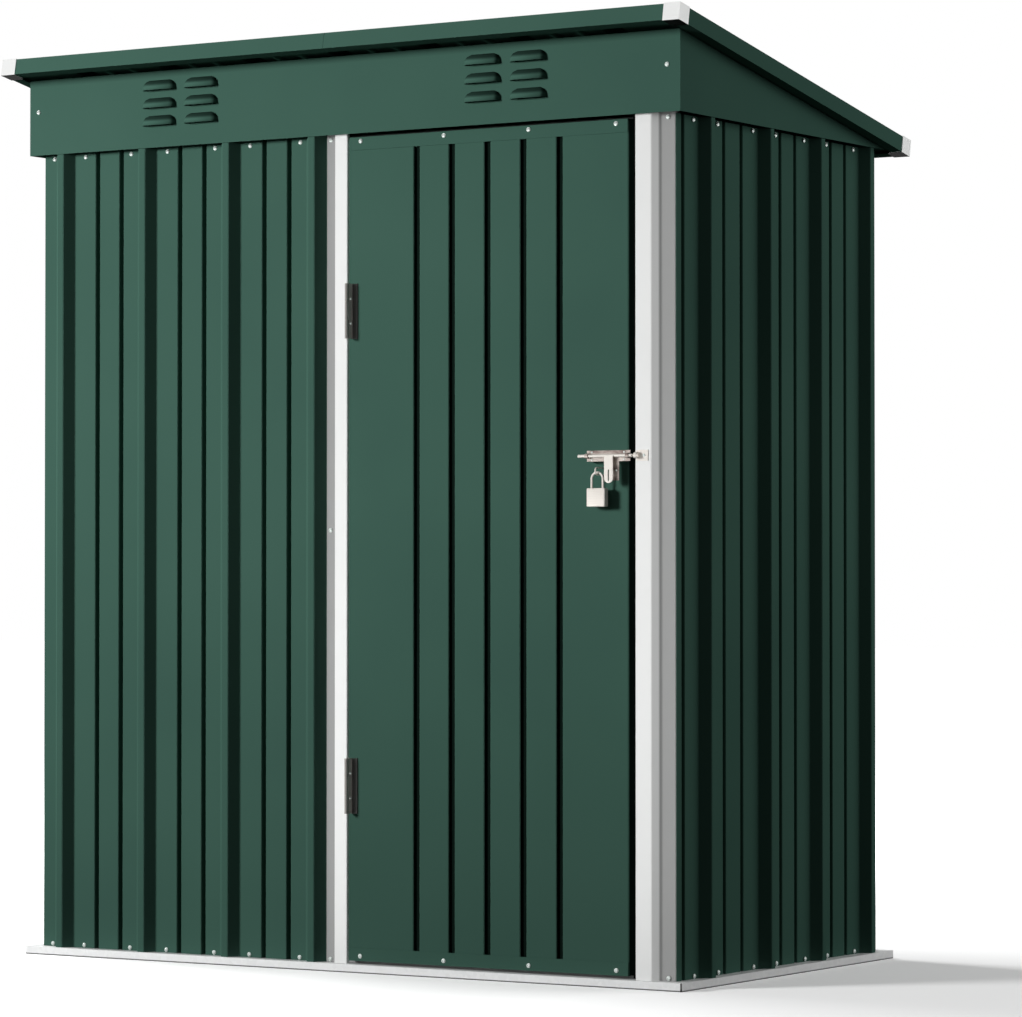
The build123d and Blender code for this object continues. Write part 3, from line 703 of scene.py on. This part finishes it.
# %% Bend the shackle
shackle_wire = 0.00225
shackle_low, shackle_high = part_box("padlock_shackle")
shackle_x = (shackle_low.x + shackle_high.x) / 2
shackle_y = (shackle_low.y + shackle_high.y) / 2
shackle_half = (shackle_high.x - shackle_low.x) / 2 - shackle_wire
spring_z = shackle_high.z - shackle_wire - shackle_half
bend_wire(
    "bent_shackle",
    start=(shackle_x - shackle_half, shackle_y, shackle_low.z),
    turn_to_disc=(0, 0, 0),
    radius=shackle_wire,
    leg=(0, 0, spring_z - shackle_low.z),
    centre=(shackle_x, shackle_y, spring_z),
    axis=(0, -1, 0),
    node="padlock_shackle",
    body="padlock",
)

# %% [markdown]
# ## Block of the lock
# The block is a casting with rounded edges. A cube of its size is bevelled all round, which gives
# the same soft edge everywhere.

# %% Cast the lock's block
edge_round = 0.0019
edge_steps = 4
block_angle = 40
block_low, block_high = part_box("padlock_body")
start_clean()
bpy.ops.mesh.primitive_cube_add(size=1, location=(block_low + block_high) / 2)
block = bpy.context.object
block.name = "lock_block"
block.scale = block_high - block_low
bpy.ops.object.transform_apply(location=True, scale=True)
bpy.ops.object.mode_set(mode="EDIT")
bpy.ops.mesh.select_all(action="SELECT")
bpy.ops.mesh.bevel(offset=edge_round, segments=edge_steps, profile=0.5)
done_editing(block_angle)
block.data.materials.append(satin_nickel)
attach(block, "padlock")
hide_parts("padlock_body")
print("lock block", len(block.data.polygons), "faces")

# %% [markdown]
# ## Key plug
# The key goes in from below, into a round plug in the foot of the block. It isn't seen in the
# picture, but shows when the lock swings up. A short cylinder is sunk in the block, and its face
# is inset and pressed in, with a raised middle.

# %% Set the key plug
plug_sides = 24
plug_radius = 0.0046
plug_depth = 0.0008
plug_angle = 30
rim_share, press_share = 0.25, 0.6
ring_share, raise_share = 0.3, 0.4
start_clean()
foot = (shackle_x, shackle_y, block_low.z)
bpy.ops.mesh.primitive_cylinder_add(
    vertices=plug_sides, radius=plug_radius, depth=2 * plug_depth, location=foot
)
plug = bpy.context.object
plug.name = "key_plug"
bpy.ops.object.transform_apply(location=True)
choose_faces(plug, lambda centre, normal: normal.z < -square_on)
bpy.ops.mesh.inset(thickness=plug_radius * rim_share)
draw_out((0, 0, plug_depth * press_share))
bpy.ops.mesh.inset(thickness=plug_radius * ring_share)
draw_out((0, 0, -plug_depth * raise_share))
done_editing(plug_angle)
# The hinges' zinc brings their painted shade along: all of it beyond 19 mm in X is near black, so
# the plug is painted near black.
plug.data.materials.append(hinge_zinc)
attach(plug, "padlock")
print("key plug", len(plug.data.polygons), "faces")

# %% [markdown]
# ## White floor
# The shed stands on a white studio floor that fades to pure white further out. To the camera and
# in reflections the floor is white and keeps the shed's shadow. To all other rays it is dark grey,
# so it sends hardly any light back up onto the sheets, and the front keeps its plain level.

# %% Lay the floor
floor_size = 80
floor_glow = 0.22
clear_of_shed = 1.6
burnt_out = 3.2
bounce_grey = "#3a3a3a"
start_clean()
bpy.ops.mesh.primitive_plane_add(size=floor_size, location=(0, 0, 0))
floor = bpy.context.object
floor.name = "floor"


def seen_directly(tree):
    """One where a ray comes from the camera or from a reflection, and zero elsewhere."""
    path = add_node(tree, "ShaderNodeLightPath", {}).outputs
    direct = {0: path["Is Camera Ray"], 1: path["Is Glossy Ray"]}
    direct = add_node(tree, "ShaderNodeMath", direct, operation="MAXIMUM").outputs[0]
    through = {0: direct, 1: path["Is Transmission Ray"]}
    return add_node(tree, "ShaderNodeMath", through, operation="MAXIMUM").outputs[0]


print("floor", floor_size, "m wide")

# %% [markdown]
# ## Floor paint
# A matt white takes the shadow, and a glow is added that grows to pure white away from the shed.
# A plain white floor would show the fall of the light and end in a grey horizon.

# %% Paint the floor
floor_paint, tree, place = new_material("floor_paint")
seen = seen_directly(tree)
tint = add_node(tree, "ShaderNodeMix", {"Factor": seen}, data_type="RGBA")
tint.inputs["A"].default_value = linear(bounce_grey)
tint.inputs["B"].default_value = white
matt = add_node(tree, "ShaderNodeBsdfDiffuse", {"Color": tint.outputs["Result"]})
away = add_node(tree, "ShaderNodeVectorMath", {0: place}, operation="LENGTH").outputs["Value"]
fade = {"From Min": clear_of_shed, "From Max": burnt_out, "To Min": floor_glow, "To Max": 1.0}
rise = add_node(
    tree, "ShaderNodeMapRange", {"Value": away, **fade}, interpolation_type="SMOOTHSTEP"
)
levels = {0: seen, 1: rise.outputs["Result"]}
glow_level = add_node(tree, "ShaderNodeMath", levels, operation="MULTIPLY").outputs[0]
glow = add_node(tree, "ShaderNodeEmission", {"Color": white, "Strength": glow_level})
both = add_node(tree, "ShaderNodeAddShader", {0: matt.outputs[0], 1: glow.outputs[0]})
finish_material(tree, both)
floor.data.materials.append(floor_paint)
print("floor is pure white from", burnt_out, "m")

# %% [markdown]
# ## Room
# The room around is white to the camera and in reflections, so the plating shows it. As light it
# is weak and only fills the shadows.

# %% Room
room_strength = 0.10
world = bpy.data.worlds.new("studio")
bpy.context.scene.world = world
world.use_nodes = True
tree = world.node_tree
tree.nodes.clear()
dim = {"To Min": room_strength, "To Max": 1.0}
level = add_node(tree, "ShaderNodeMapRange", {"Value": seen_directly(tree), **dim})
room_inputs = {"Color": white, "Strength": level.outputs["Result"]}
room = add_node(tree, "ShaderNodeBackground", room_inputs)
add_node(tree, "ShaderNodeOutputWorld", {"Surface": room.outputs[0]})
print("room lights at", room_strength)

# %% [markdown]
# ## Lamps
# Three soft boxes light the shed. The key stands to the left of the front and low, so each rib
# throws a soft shadow to its right. A wide one behind the right corner grazes the right wall. A
# high one from the left throws the shed's shadow to the right over the floor. A box that shows in
# the plating would burn out there, so they are kept out of reflections.

# %% Lamps
def soft_lamp(name, heading, height, distance, aim, size, power):
    """A square soft box: turned away from the front to the left, raised, and aimed at a point."""
    turn = radians(heading)
    lift = radians(height)
    away = Vector((-sin(turn) * cos(lift), -cos(turn) * cos(lift), sin(lift)))
    light = bpy.data.lights.new(name, "AREA")
    light.size = size
    light.energy = power
    lamp = bpy.data.objects.new(name, light)
    lamp.location = Vector(aim) + away * distance
    lamp.rotation_euler = (-away).to_track_quat("-Z", "Y").to_euler()
    lamp.visible_glossy = False
    bpy.context.scene.collection.objects.link(lamp)
    print(name, "lamp at", [round(v, 2) for v in lamp.location], power, "W")


soft_lamp("key", heading=38, height=11, distance=8.0, aim=(0, -0.4, 1.1), size=1.8, power=770)
soft_lamp("side", heading=222, height=10, distance=8.0, aim=(0.75, 0, 0.9), size=6.0, power=430)
soft_lamp("left", heading=98, height=38, distance=7.0, aim=(0, 0, 0.5), size=2.5, power=580)

# %% [markdown]
# ## Jamb and finish
# In the picture the white jamb throws no shadow on the door beside it: light from the room fills
# the fold. So its solid is left out of the shadows. Colours are shown as they are, and the loose
# screw model goes.

# %% Finish
frame["nodes"]["door_jamb_post"].visible_shadow = False
bpy.context.scene.view_settings.view_transform = "Standard"
bpy.data.objects.remove(screw_model)
print("view", bpy.context.scene.view_settings.view_transform)
